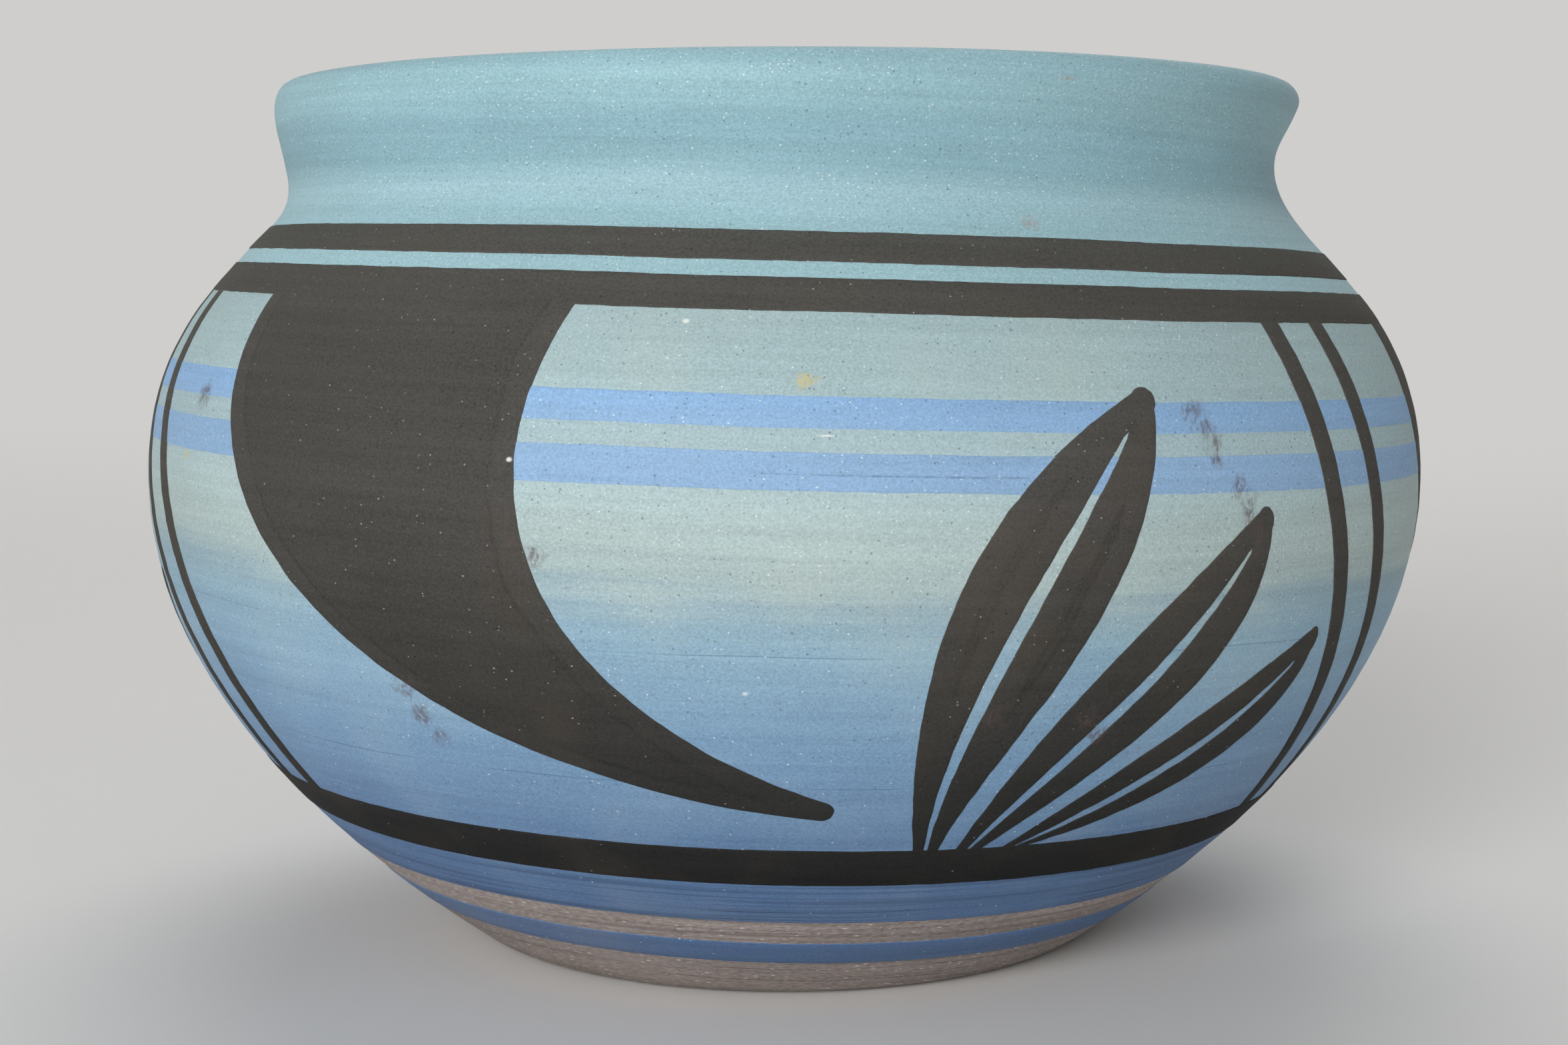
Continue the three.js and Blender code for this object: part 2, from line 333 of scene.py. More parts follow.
# wraps a flat sheet round the vase: x runs round it, y along its section and z off its face
def buildWrapTree():
    tree = bpy.data.node_groups.new("wrapOnVase", "GeometryNodeTree")
    sockets = {}
    for name, kind in wrapInputs.items():
        item = tree.interface.new_socket(name=name, in_out="INPUT", socket_type="NodeSocket" + kind)
        sockets[name] = item.identifier
    tree.interface.new_socket(name="Geometry", in_out="OUTPUT", socket_type="NodeSocketGeometry")
    given = tree.nodes.new("NodeGroupInput").outputs

    # copies side by side, an even share of the way round
    girth = times(tree, given["Belly radius"], 2 * math.pi)
    step = combine(tree, calc(tree, "DIVIDE", girth, given["Repeats"]), 0.0, 0.0)
    line = addNode(tree, "GeometryNodeMeshLine", {"Count": given["Repeats"], "Offset": step})
    copies = addNode(
        tree, "GeometryNodeInstanceOnPoints", {"Points": line.outputs[0], "Instance": given["Geometry"]})
    real = addNode(tree, "GeometryNodeRealizeInstances", [copies.outputs[0]])

    flat = separate(tree, addNode(tree, "GeometryNodeInputPosition").outputs[0])
    turn = calc(tree, "DIVIDE", flat["X"], given["Belly radius"])
    place = combine(
        tree,
        times(tree, calc(tree, "COSINE", turn), given["Belly radius"]),
        times(tree, calc(tree, "SINE", turn), given["Belly radius"]),
        flat["Y"])

    # brush edges waver a little, slowly and in small steps
    slow, quick = (
        separate(tree, noise(tree, place, *handSpread[kind], given["Seed"]).outputs["Color"])
        for kind in ("slowWaver", "quickWaver"))

    def waver(axis):
        wide = remap(tree, slow[axis], *noiseSpan, -1.0, 1.0)
        fine = remap(tree, quick[axis], *noiseSpan, -handSpread["quickShare"], handSpread["quickShare"])
        return times(tree, plus(tree, wide, fine), given["Edge wobble"])

    turn = plus(tree, turn, calc(tree, "DIVIDE", waver("X"), given["Belly radius"]))
    sine, cosine = calc(tree, "SINE", turn), calc(tree, "COSINE", turn)

    wall = addNode(tree, "GeometryNodeObjectInfo", {"Object": given["Wall profile"]}).outputs["Geometry"]

    def wallAt(length):
        sample = addNode(tree, "GeometryNodeSampleCurve", {"Curves": wall, "Length": length}, mode="LENGTH")
        return separate(tree, sample.outputs["Position"]), separate(tree, sample.outputs["Tangent"])

    # the bands lie tilted, less and less towards the neck
    spot, slope = wallAt(flat["Y"])
    fade = remap(tree, spot["Z"], *handSpread["tiltFade"], 1.0, 0.0, True)
    drop = times(tree, spot["X"], sine)
    drop = times(tree, calc(tree, "TANGENT", given["Tilt"]), drop)
    drop = times(tree, drop, fade)
    drop = calc(tree, "DIVIDE", drop, calc(tree, "MAXIMUM", slope["Z"], handSpread["leastSlope"]))
    length = minus(tree, plus(tree, flat["Y"], waver("Y")), drop)
    spot, slope = wallAt(length)

    # turning marks run round the wall and fade out at the foot
    rings = vectorCalc(tree, "MULTIPLY", combine(tree, cosine, sine, length), handSpread["ringStretch"])
    rings = sway(tree, rings, *handSpread["ringNoise"], handSpread["ringSeed"])
    marks = times(tree, rings, given["Turning marks"])
    marks = times(tree, marks, remap(tree, spot["Z"], *handSpread["ringFade"], 0.0, 1.0))
    lift = plus(tree, flat["Z"], marks)
    radius = plus(tree, spot["X"], times(tree, lift, slope["Z"]))
    height = minus(tree, spot["Z"], times(tree, lift, slope["X"]))

    # the waist under the lip sits higher on one side, while the crest is level; waist and lip lean apart
    swayIn = remap(tree, height, *handSpread["swayIn"], 0.0, 1.0, True)
    swayOut = remap(tree, height, *handSpread["swayOut"], 1.0, 0.0, True)
    swayed = times(tree, swayIn, swayOut)
    swayed = times(tree, swayed, times(tree, sine, given["Lip sway"]))
    waistLean = times(tree, swayIn, handSpread["waistLean"])
    lean = minus(tree, remap(tree, height, *handSpread["leanIn"], 0.0, 1.0, True), waistLean)
    height = plus(tree, height, swayed)

    across = times(tree, radius, sine)
    across = plus(tree, across, times(tree, lean, given["Lip lean"]))
    back = times(tree, times(tree, radius, cosine), -1.0)
    position = combine(tree, across, back, height)
    moved = addNode(tree, "GeometryNodeSetPosition", {"Geometry": real.outputs[0], "Position": position})
    finish = {"Geometry": moved.outputs[0], "Material": given["Finish"]}
    finished = addNode(tree, "GeometryNodeSetMaterial", finish)
    addNode(tree, "NodeGroupOutput", [finished.outputs[0]])
    return tree, sockets


wrapTree, wrapSockets = buildWrapTree()
print("wrap tree built")


sharpAngle = math.radians(50)  # edges that turn further are not smoothed


# a flat sheet wrapped round the vase as one plain mesh, tied to the CAD nodes that it stands for
def wrapPiece(name, sheet, nodes, finish, repeats=1, edgeWobble=0.0, seed=0.0):
    flat = addObject(name + "Flat", sheet)
    modifier = flat.modifiers.new("wrap", "NODES")
    modifier.node_group = wrapTree
    settings = dict(handWork)
    settings.update({"Wall profile": wallProfile, "Repeats": repeats, "Edge wobble": edgeWobble * mm,
                     "Seed": seed, "Finish": finish})
    for key, value in settings.items():
        modifier[wrapSockets[key]] = value
    graph = bpy.context.evaluated_depsgraph_get()
    mesh = bpy.data.meshes.new_from_object(flat.evaluated_get(graph))
    bpy.data.objects.remove(flat)
    mesh.name = name
    mesh.shade_smooth()
    mesh.set_sharp_from_angle(angle=sharpAngle)
    piece = addObject(name, mesh)
    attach(piece, "root")
    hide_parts(*nodes)


def sheetFrom(name, points, faces):
    sheet = bpy.data.meshes.new(name)
    sheet.from_pydata(points.tolist(), [], faces)
    sheet.update()
    return sheet


# materials, with colours from 0 to 255 as a screen shows them
def linear(colour):
    shares = np.array(colour) / 255
    return np.where(shares <= 0.04045, shares / 12.92, ((shares + 0.055) / 1.055) ** 2.4)


def rgba(colour):
    return (*linear(colour).tolist(), 1.0)


def newMaterial(name):
    material = bpy.data.materials.new(name)
    material.use_nodes = True
    return material, material.node_tree, material.node_tree.nodes["Principled BSDF"]


def mixColour(tree, share, under, over):
    values = {0: share, 6: under, 7: over}  # the colour sockets' places among those of all kinds
    return addNode(tree, "ShaderNodeMix", values, data_type="RGBA").outputs[2]


# scattered round specks: cell says how far apart, size how wide, share how many of the cells hold one
speckShape = {
    "shift": (0.13, 0.07, 0.0),  # metres for each unit of the seed
    "sizes": (0.55, 1.25),  # from the smallest to the largest
    "core": 0.6,  # share of the radius with the full strength
}


def specks(tree, vector, kind, share, seed):
    shift = tuple((seed + kind["seed"]) * step for step in speckShape["shift"])
    values = {"Vector": vectorCalc(tree, "ADD", vector, shift), "Scale": 1 / (kind["cell"] * mm)}
    node = addNode(tree, "ShaderNodeTexVoronoi", values, voronoi_dimensions="3D")
    chance = separate(tree, node.outputs["Color"])
    sizes = remap(tree, chance["Y"], 0.0, 1.0, *speckShape["sizes"])
    away = calc(tree, "DIVIDE", node.outputs["Distance"], sizes)
    reach = kind["size"] / kind["cell"] / 2
    spot = remap(tree, away, reach, reach * speckShape["core"], 0.0, 1.0)
    return times(tree, spot, calc(tree, "LESS_THAN", chance["X"], share))


# stains, spots, chips and a scratch seen in the photograph: degrees round the vase, height and size in mm
stain = {"colour": (98, 82, 82), "strength": 0.75, "patchy": 0.8}
rust = {"colour": (176, 130, 104), "strength": 0.7, "patchy": 0.9}
spot = {"colour": (204, 190, 120), "strength": 0.75, "patchy": 0.6}
chip = {"colour": (236, 238, 234), "strength": 0.9, "patchy": 0.0}
scratch = {"colour": (92, 118, 158), "strength": 0.7, "patchy": 0.5}
wearMarks = [
    (32.4, 69.6, 4.2, 3.8, stain), (33.6, 67.6, 3.0, 5.4, stain), (34.3, 65.4, 2.2, 3.8, stain),
    (36.3, 62.0, 2.6, 3.8, stain), (37.5, 59.5, 2.4, 5.4, stain), (38.5, 56.7, 2.0, 4.8, stain),
    (16.6, 38.5, 3.8, 3.8, stain), (24.6, 38.1, 3.8, 3.2, stain), (26.2, 36.1, 3.0, 2.6, stain),
    (-55.7, 68.0, 3.4, 5.0, stain), (-31.4, 39.3, 4.2, 3.6, stain), (-30.4, 36.4, 3.6, 4.2, stain),
    (-29.5, 34.0, 2.8, 3.2, stain), (-18.0, 54.2, 3.2, 2.8, stain), (-20.0, 55.6, 2.0, 1.6, stain),
    (23.2, 88.6, 2.6, 2.8, rust), (1.7, 72.6, 2.8, 2.0, spot), (-57.5, 60.9, 2.0, 1.6, spot),
    (-7.6, 78.0, 0.9, 0.6, chip), (-20.2, 63.8, 0.8, 0.6, chip), (-2.9, 41.3, 0.8, 0.6, chip),
    (38.6, 88.4, 0.8, 0.5, chip), (3.0, 67.3, 2.2, 0.3, chip), (9.0, 63.5, 38.0, 0.22, scratch),
    (27.8, 104.2, 3.4, 0.9, rust),
]


# how the marks fray and break up, with noises as scale, detail and seed
wearTexture = {
    "fray": (600.0, 3.0, 9.0),
    "frayFrom": (0.3, 0.7),
    "frayBy": 0.4,
    "patches": (2200.0, 3.0, 8.0),
    "patchStretch": (1.0, 1.0, 0.5),
    "patchFrom": (0.42, 0.56),
    "edge": (0.2, 1.1),  # from full to none, as shares of a mark's half size
}


# lays the marks over a colour, the stains as strong as stained says; vector is the tilted place on the vase
def wornColour(tree, vector, colour, stained):
    fray = noise(tree, vector, *wearTexture["fray"]).outputs[0]
    fray = remap(tree, fray, *wearTexture["frayFrom"], -wearTexture["frayBy"], wearTexture["frayBy"])
    patches = vectorCalc(tree, "MULTIPLY", vector, wearTexture["patchStretch"])
    patches = noise(tree, patches, *wearTexture["patches"]).outputs[0]
    patches = remap(tree, patches, *wearTexture["patchFrom"], 0.0, 1.0)
    tilt = handWork["Tilt"]
    for angle, height, width, tallness, mark in wearMarks:
        turn, radius = math.radians(angle), radiusAt(height)
        x, y = radius * math.sin(turn), -radius * math.cos(turn)
        centre = ((x * math.cos(tilt) - height * math.sin(tilt)) * mm, y * mm, height * mm)
        reach = (2 / (width * mm), 2 / (width * mm), 2 / (tallness * mm))
        away = vectorCalc(tree, "MULTIPLY", vectorCalc(tree, "SUBTRACT", vector, centre), reach)
        edge = plus(tree, vectorCalc(tree, "LENGTH", away), fray)
        share = remap(tree, edge, *wearTexture["edge"], mark["strength"], 0.0, True)
        if mark["patchy"]:
            faint = (1 - mark["patchy"]) * stained
            share = times(tree, share, remap(tree, patches, 0.0, 1.0, faint, stained))
        colour = mixColour(tree, share, colour, rgba(mark["colour"]))
    return colour


# thin dark lines that the turning tool left round the wall, broken here and there, and finer grooves near
# the foot, with noises as scale, detail and seed
toolLines = {
    "grooves": (1.0, 2.0, 14.0),
    "grooveStretch": (16.0, 16.0, 1900.0),
    "grooveFrom": (0.5, 0.64),
    "grooveStrength": 0.5,
    "nearFoot": (0.017, 0.025),  # metres up, from full to none
    "wander": (30.0, 2.0, 12.0),
    "wanderBy": 0.3,  # mm
    "breaks": (60.0, 3.0, 13.0),
    "breakFrom": (0.44, 0.58),
    "strength": 0.7,
}


def scoredColour(tree, vector, colour, scores, grooves):
    height = separate(tree, vector)["Z"]
    fine = vectorCalc(tree, "MULTIPLY", vector, toolLines["grooveStretch"])
    fine = noise(tree, fine, *toolLines["grooves"]).outputs[0]
    fine = remap(tree, fine, *toolLines["grooveFrom"], 0.0, toolLines["grooveStrength"])
    share = times(tree, fine, remap(tree, height, *toolLines["nearFoot"], 1.0, 0.0))
    colour = mixColour(tree, share, colour, rgba(grooves))
    wander = times(tree, sway(tree, vector, *toolLines["wander"]), toolLines["wanderBy"] * mm)
    height = plus(tree, height, wander)
    breaks = noise(tree, vector, *toolLines["breaks"]).outputs[0]
    breaks = remap(tree, breaks, *toolLines["breakFrom"], 0.0, 1.0)
    for level, width, shade in scores:
        away = calc(tree, "ABSOLUTE", minus(tree, height, level * mm))
        share = remap(tree, away, width * mm / 2, width * mm / 4, 0.0, toolLines["strength"])
        colour = mixColour(tree, times(tree, share, breaks), colour, rgba(shade))
    return colour


# a figure is drawn round first and then filled in: its outline stroke is a little lighter and laps the
# filling; sizes in mm, noises as scale and detail
outlineStroke = {
    "seed": 7,  # added to the paint's own
    "width": 3.0,
    "wanderNoise": (120.0, 2.0),
    "wander": 0.5,
    "lighter": 0.07,
    "soft": 0.2,
    "lap": 0.5,
    "darker": 0.2,
    "breakNoise": (90.0, 2.0),
    "breakFrom": (0.35, 0.6),
    "leastLap": 0.2,
}


def strokeTone(tree, vector, seed):
    stroke = outlineStroke
    fromEdge = addNode(tree, "ShaderNodeAttribute", attribute_name="brushEdge").outputs["Fac"]  # mm
    painted = calc(tree, "GREATER_THAN", fromEdge, 0.0)
    wander = times(tree, sway(tree, vector, *stroke["wanderNoise"], seed), stroke["wander"])
    fromLap = minus(tree, plus(tree, fromEdge, wander), stroke["width"])
    outline = remap(tree, fromLap, -stroke["soft"], stroke["soft"], stroke["lighter"], 0.0)
    breaks = noise(tree, vector, *stroke["breakNoise"], seed + 1).outputs[0]
    breaks = remap(tree, breaks, *stroke["breakFrom"], stroke["leastLap"], 1.0)
    lap = remap(tree, calc(tree, "ABSOLUTE", fromLap), 0.0, stroke["lap"], stroke["darker"], 0.0)
    tone = minus(tree, outline, times(tree, lap, breaks))
    return times(tree, painted, tone)


# textures that all the finishes share: noises as scale, detail and what is added to the seed
clayTexture = {
    "streaks": (1.0, 3.0, 0),
    "streakStretch": (24.0, 24.0, 700.0),
    "bristles": (1.0, 2.0, 5),
    "bristleStretch": (30.0, 30.0, 2600.0),
    "clouds": (60.0, 3.0, 1),
    "grain": (4200.0, 2.0, 2),
    "patches": (110.0, 2.0, 6),
    "patchFrom": (-0.7, 0.7),
    "tintFrom": (0.0, 0.9),
    "cloudRoughness": 0.05,
    "grainRelief": 0.5,
    "streakRelief": 0.5,
    "depth": 0.04,  # mm
}
# specks in mm; shares are their amounts in the least and in the most pitted patches
pinholes = {"cell": 0.7, "size": 0.24, "seed": 3, "shares": (0.4, 1.6), "strength": 0.55, "relief": 1.5}
# pale mica specks, drawn whiter than mica is: partly real flecks, partly painted glints
micaFlakesAndGlints = {"cell": 0.5, "size": 0.18, "seed": 4, "shares": (1.7, 0.3), "strength": 0.7, "polish": 0.25,
          "rise": (0.02, 0.05)}  # metres up, from micaLow to full


# matte painted or bare earthenware: colours by height (with painted shade and sheen in some), brush streaks,
# mica specks with painted glints, pinholes and wear
def earthenware(name, look):
    material, tree, shader = newMaterial(name)
    vector = addNode(tree, "ShaderNodeTexCoord").outputs["Object"]
    tilting = {"Vector": vector, "Rotation": (0.0, -handWork["Tilt"], 0.0)}
    tilted = addNode(tree, "ShaderNodeMapping", tilting).outputs[0]

    def texture(kind, place):
        scale, detail, shift = clayTexture[kind]
        return sway(tree, place, scale, detail, look["seed"] + shift)

    streaks = texture("streaks", vectorCalc(tree, "MULTIPLY", tilted, clayTexture["streakStretch"]))
    bristles = texture("bristles", vectorCalc(tree, "MULTIPLY", tilted, clayTexture["bristleStretch"]))
    clouds = texture("clouds", vector)
    dragged = vectorCalc(tree, "MULTIPLY", tilted, (look["drag"], look["drag"], 1.0))
    grain = texture("grain", dragged)
    patches = texture("patches", vector)

    height = separate(tree, tilted)["Z"]
    blur = times(tree, plus(tree, streaks, clouds), look["blur"] * mm)
    height = plus(tree, height, blur)
    stops = look["stops"]
    low, high = stops[0][0], stops[-1][0]
    ramp = addNode(tree, "ShaderNodeValToRGB", [remap(tree, height, low * mm, high * mm, 0.0, 1.0)])
    while len(ramp.color_ramp.elements) < len(stops):
        ramp.color_ramp.elements.new(0.5)
    for element, (level, colour) in zip(ramp.color_ramp.elements, stops):
        element.position = (level - low) / (high - low)
        element.color = rgba(colour)

    tone = 0.0
    for shade, strength in ((streaks, "streak"), (bristles, "bristle"), (clouds, "cloud"), (grain, "grain")):
        tone = plus(tree, tone, times(tree, shade, look[strength]))
    if look["brushed"]:
        tone = plus(tree, tone, strokeTone(tree, vector, look["seed"] + outlineStroke["seed"]))
    tone = plus(tree, tone, 1.0)
    colour = vectorCalc(tree, "MULTIPLY", ramp.outputs[0], combine(tree, tone, tone, tone))
    tint = remap(tree, clouds, *clayTexture["tintFrom"], 0.0, look["tint"])
    colour = mixColour(tree, tint, colour, rgba(look["tintColour"]))

    if look["worn"]:
        colour = wornColour(tree, tilted, colour, look["worn"])
    if look["scores"]:
        colour = scoredColour(tree, tilted, colour, look["scores"], look["grooves"])

    def shareOf(kind, amount):
        return remap(tree, patches, *clayTexture["patchFrom"], *(amount * share for share in kind["shares"]))

    holes = specks(tree, vector, pinholes, shareOf(pinholes, look["pinholes"]), look["seed"])
    share = times(tree, holes, pinholes["strength"])
    colour = mixColour(tree, share, colour, rgba(look["pinholeColour"]))
    # the pale mica specks carry painted glints as well as the flecks themselves
    micaRise = remap(tree, height, *micaFlakesAndGlints["rise"], look["micaLow"], 1.0)
    micaShare = times(tree, shareOf(micaFlakesAndGlints, look["mica"]), micaRise)
    mica = specks(tree, dragged, micaFlakesAndGlints, micaShare, look["seed"])
    share = times(tree, mica, micaFlakesAndGlints["strength"])
    colour = mixColour(tree, share, colour, rgba(look["micaAndGlintColour"]))
    feed(tree, shader.inputs["Base Color"], colour)

    rough = times(tree, clouds, clayTexture["cloudRoughness"])
    rough = plus(tree, look["roughness"], rough)
    rough = minus(tree, rough, times(tree, mica, micaFlakesAndGlints["polish"]))
    feed(tree, shader.inputs["Roughness"], rough)
    shader.inputs["Specular IOR Level"].default_value = look["gloss"]

    relief = times(tree, grain, clayTexture["grainRelief"])
    relief = plus(tree, relief, times(tree, streaks, clayTexture["streakRelief"]))
    relief = minus(tree, relief, times(tree, holes, pinholes["relief"]))
    bump = {"Strength": look["relief"], "Distance": clayTexture["depth"] * mm, "Height": relief}
    feed(tree, shader.inputs["Normal"], addNode(tree, "ShaderNodeBump", bump).outputs[0])
    return material


# stops are heights in mm with their colours; scores are heights, widths and colours of tool lines
slipLook = {
    "seed": 1.0, "worn": 1.0, "brushed": False, "scores": (), "blur": 0.6,
    "streak": 0.06, "bristle": 0.05, "cloud": 0.04, "grain": 0.19, "drag": 0.8,
    "tint": 0.2, "tintColour": (186, 192, 178), "pinholes": 0.34, "pinholeColour": (84, 104, 128),
    "mica": 0.28, "micaLow": 0.2, "micaAndGlintColour": (238, 242, 242),
    "roughness": 0.6, "gloss": 0.25, "relief": 0.6,
}
groundStops = [
    (12.4, (88, 117, 157)), (15.2, (92, 122, 162)), (20.0, (98, 130, 170)),
    (27.0, (118, 150, 184)), (33.5, (124, 158, 190)), (41.0, (138, 171, 196)),
    (46.5, (146, 178, 196)), (49.5, (150, 176, 188)), (52.5, (170, 189, 190)),
    (56.0, (174, 193, 192)), (60.0, (174, 195, 197)), (66.5, (166, 190, 196)),
    (73.0, (166, 190, 194)), (82.0, (163, 187, 191)),
]
# the neck is lighter below about 91 mm than at its waist near 94 mm: the neck's own tone with a painted sheen
# on the lower neck
neckColourAndSheenStops = [
    (78.0, (163, 198, 206)), (88.8, (161, 197, 206)), (91.2, (164, 198, 208)),
    (94.4, (139, 176, 187)), (98.4, (145, 183, 195)), (100.2, (154, 192, 202)),
    (103.0, (155, 193, 202)), (104.4, (149, 186, 196)), (106.0, (149, 186, 196)),
]
panelPaint = earthenware("panelPaint", {
    **slipLook, "stops": groundStops, "blur": 1.4, "pinholes": 0.5, "pinholeColour": (86, 86, 86)})
bluePaint = earthenware("bluePaint", {
    **slipLook, "stops": groundStops, "blur": 1.4, "tint": 0.12, "grooves": (58, 80, 114),
    "scores": (
        (12.9, 0.14, (62, 82, 114)), (13.4, 0.16, (52, 70, 100)), (14.1, 0.2, (48, 64, 94)),
        (15.0, 0.12, (66, 88, 122)), (15.7, 0.14, (68, 92, 126)), (16.9, 0.12, (70, 94, 130)),
        (30.6, 0.12, (72, 98, 132)), (45.2, 0.12, (96, 122, 150)))})
# the neck holds more than twice the pale mica specks of the other paints: painted glints along the sheen of
# the neck
neckPaint = earthenware("neckPaint", {
    **slipLook, "seed": 11.0, "stops": neckColourAndSheenStops, "streak": 0.05, "tint": 0.0, "mica": 0.6,
    "roughness": 0.54})
stripePaint = earthenware("stripePaint", {
    **slipLook, "seed": 21.0, "tint": 0.0, "pinholes": 0.46,
    "stops": [(60.0, (143, 176, 211)), (66.0, (143, 177, 212)), (72.0, (141, 180, 221))]})
footStripePaint = earthenware("footStripePaint", {
    **slipLook, "seed": 31.0, "worn": 0.0, "streak": 0.1, "tintColour": (150, 144, 140), "grain": 0.22,
    "stops": [(5.0, (84, 112, 150)), (10.0, (88, 117, 158))]})
# one black paint, darker towards the foot and lighter towards the shoulder: painted shade low on the pot and
# a painted sheen on the upward-facing shoulder
darkPaint = earthenware("darkPaint", {
    **slipLook, "seed": 41.0, "streak": 0.1, "cloud": 0.08, "grain": 0.26, "brushed": True, "worn": 0.5,
    "stops": [
        (15.0, (35, 35, 35)), (24.0, (46, 46, 45)), (45.0, (65, 64, 61)),
        (60.0, (76, 74, 71)), (80.0, (80, 79, 75)), (90.0, (87, 86, 82))],
    "tint": 0.28, "tintColour": (84, 74, 64), "pinholes": 0.2, "pinholeColour": (32, 31, 30),
    "mica": 0.12, "micaAndGlintColour": (176, 175, 168), "roughness": 0.68, "gloss": 0.05})
bareClay = earthenware("bareClay", {
    **slipLook, "seed": 51.0, "worn": 0.0, "streak": 0.12, "cloud": 0.08, "grain": 0.36, "drag": 0.3,
    "stops": [(0.0, (150, 140, 135)), (12.0, (168, 156, 150)), (106.0, (160, 148, 141))],
    "tintColour": (146, 140, 138), "grooves": (112, 103, 98),
    "scores": ((4.6, 0.2, (92, 84, 80)), (2.6, 0.2, (92, 84, 80)), (10.6, 0.16, (104, 96, 92))),
    "pinholes": 0.4, "pinholeColour": (92, 84, 80),
    # many pale grains on the bare clay: partly real grit, partly painted glints
    "mica": 0.9, "micaLow": 1.0, "micaAndGlintColour": (240, 232, 224),
    "roughness": 0.78, "gloss": 0.2, "relief": 0.9})
print("materials made")


# clay body: the whole section, turned, closed by a point at the middle of the foot and of the floor
clayBody = {
    "segments": 256,
    "spacing": (  # mm between rows, up to each place on the section
        (footIndex, 9.0), (footIndex * 2, 0.4), (crestIndex - footIndex, 1.2),
        (crestIndex + footIndex, 0.45), (len(wallLine) - 1 - footIndex, 2.2), (len(wallLine) - 1, 8.0)),
}


def claySheet(shape):
    rows, start = [], 0
    for end, gap in shape["spacing"]:
        low, high = wallLengths[start], wallLengths[end]
        rows.append(np.linspace(low, high, max(1, math.ceil((high - low) / gap)), endpoint=False))
        start = end
    rows = np.concatenate(rows)[1:]
    count = shape["segments"]
    across = np.arange(count) / count * 2 * math.pi * wallShape["belly"][0]
    points = [(x, y, 0) for y in rows for x in across]
    points += [(0, 0, 0), (0, wallLengths[-1], 0)]
    first, last = len(points) - 2, len(points) - 1
    faces = []
    for i in range(count):
        j = (i + 1) % count
        faces.append((first, j, i))
        for k in range(len(rows) - 1):
            faces.append((k * count + i, k * count + j, (k + 1) * count + j, (k + 1) * count + i))
        top = (len(rows) - 1) * count
        faces.append((top + i, top + j, last))
    return sheetFrom("clayBody", np.array(points) * mm, faces)


wrapPiece("clayBody", claySheet(clayBody), ["clay_body"], bareClay)
print("clay body made")


# rings of paint, from a low to a high length along the section; an edge is eased unless it meets its like
ringShape = {
    "segments": 640,
    "gap": 1.2,
    "lipGap": 0.65,
    "leastRows": 3,
    "easeSteps": (0.0, 0.07, 0.22),
    "easeHeights": (0.35, 0.8, 1.0),
    "edgeWobble": 0.16,
    "seed": 2.0,
}
coatFilm = {"base": -0.05, "top": 0.10}
stripeFilm = {"base": -0.05, "top": 0.13}
bandFilm = {"base": 0.02, "top": 0.2}
panelRing = {"slot": "panel_paint", "paint": panelPaint, "film": coatFilm}
stripeRing = {"slot": "stripe_paint", "paint": stripePaint, "film": stripeFilm}
darkRing = {"slot": "dark_paint", "paint": darkPaint, "film": bandFilm}
paintRings = {
    "neckCoat": {
        "node": "neck_coat", "slot": "neck_paint", "paint": neckPaint, "film": coatFilm,
        "low": lengthAt(80.9), "high": innerLengthAt(94.2)},
    "upperPanelCoat": {
        "node": "upper_panel_coat", **panelRing,
        "low": lengthAt(70.7), "high": lengthAt(80.9), "eased": (False, True)},
    "upperStripe": {
        "node": "upper_stripe", **stripeRing,
        "low": lengthAt(67.8), "high": lengthAt(71.1)},
    "middlePanelCoat": {
        "node": "middle_panel_coat", **panelRing,
        "low": lengthAt(65.25), "high": lengthAt(68.2), "eased": (False, False)},
    "lowerStripe": {
        "node": "lower_stripe", **stripeRing,
        "low": lengthAt(61.7), "high": lengthAt(65.65)},
    "lowerPanelCoat": {
        "node": "lower_panel_coat", **panelRing,
        "low": lengthAt(50.1), "high": lengthAt(62.1), "eased": (False, False)},
    "blueCoat": {
        "node": "blue_coat", "slot": "blue_paint", "paint": bluePaint, "film": coatFilm,
        "low": lengthAt(12.6), "high": lengthAt(50.1), "eased": (True, False)},
    "footStripe": {
        "node": "foot_stripe", "slot": "foot_stripe_paint", "paint": footStripePaint, "film": coatFilm,
        "low": lengthAt(5.9), "high": lengthAt(9.2)},
    "upperShoulderBand": {
        "node": "upper_shoulder_band", **darkRing,
        "low": lengthAt(84.2), "high": lengthAt(87.35)},
    "lowerShoulderBand": {
        "node": "lower_shoulder_band", **darkRing,
        "low": lengthAt(79.2), "high": lengthAt(82.6)},
    "baseBand": {
        "node": "base_band", **darkRing,
        "low": lengthAt(18.2), "high": lengthAt(22.95)},
}


